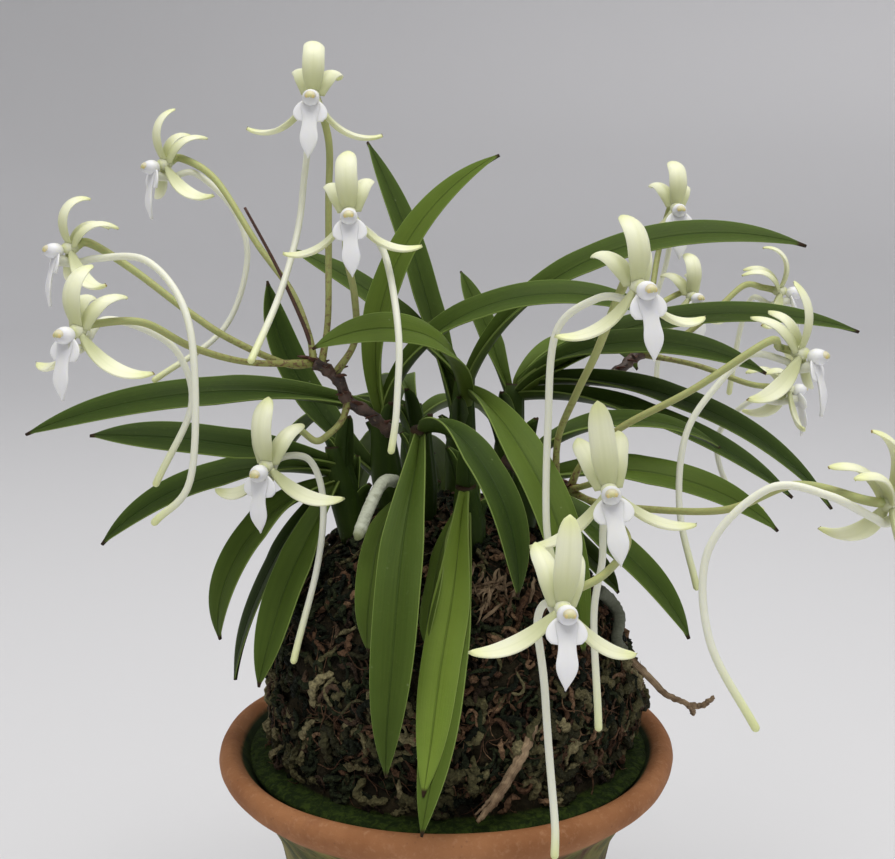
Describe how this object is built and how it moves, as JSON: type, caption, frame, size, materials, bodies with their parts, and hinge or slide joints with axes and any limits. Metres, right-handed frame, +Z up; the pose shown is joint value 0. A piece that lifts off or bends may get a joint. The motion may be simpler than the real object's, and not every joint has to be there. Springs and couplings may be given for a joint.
{
  "type": "potted wind orchid",
  "caption": "Small fan-leaved orchid in flower on a tall moss mound in a round clay pot, with white long-spurred blooms on arching stalks.",
  "frame": {"origin": "middle of the flat underside of the pot, on the surface that it stands on", "axes": "+Z up, -Y towards the side that the plant is seen from (its front), +X to the right seen from there"},
  "size_m": [0.1391, 0.1225, 0.1758],
  "materials": {
    "terracotta": "unglazed fired clay, matte",
    "sphagnum": "matted dark moss strands",
    "leaf": "satin leathery leaf",
    "tepal": "waxy translucent petal",
    "lip": "waxy white petal",
    "stalk": "smooth green-brown stalk",
    "velamen": "dry papery root skin",
    "bark": "rough dead twig"
  },
  "bodies": {
    "root": {"pot": "terracotta", "moss_mound": "sphagnum", "growth_a": "leaf", "growth_b": "leaf", "growth_c": "leaf", "growth_d": "leaf", "growth_e": "leaf", "growth_f": "leaf", "growth_g": "leaf", "growth_h": "leaf", "raceme_left": "stalk", "raceme_right": "stalk", "raceme_back": "stalk", "bloom_01_tepals": "tepal", "bloom_02_tepals": "tepal", "bloom_03_tepals": "tepal", "bloom_04_tepals": "tepal", "bloom_05_tepals": "tepal", "bloom_06_tepals": "tepal", "bloom_07_tepals": "tepal", "bloom_08_tepals": "tepal", "bloom_09_tepals": "tepal", "bloom_10_tepals": "tepal", "bloom_11_tepals": "tepal", "bloom_12_tepals": "tepal", "bloom_13_tepals": "tepal", "bloom_14_tepals": "tepal", "bloom_15_tepals": "tepal", "bloom_01_lip": "lip", "bloom_02_lip": "lip", "bloom_03_lip": "lip", "bloom_04_lip": "lip", "bloom_05_lip": "lip", "bloom_06_lip": "lip", "bloom_07_lip": "lip", "bloom_08_lip": "lip", "bloom_09_lip": "lip", "bloom_10_lip": "lip", "bloom_11_lip": "lip", "bloom_12_lip": "lip", "bloom_13_lip": "lip", "bloom_14_lip": "lip", "bloom_15_lip": "lip", "root_front": "velamen", "root_right": "velamen", "root_left": "velamen", "root_back": "velamen", "twig": "bark"}
  },
  "joints": []
}
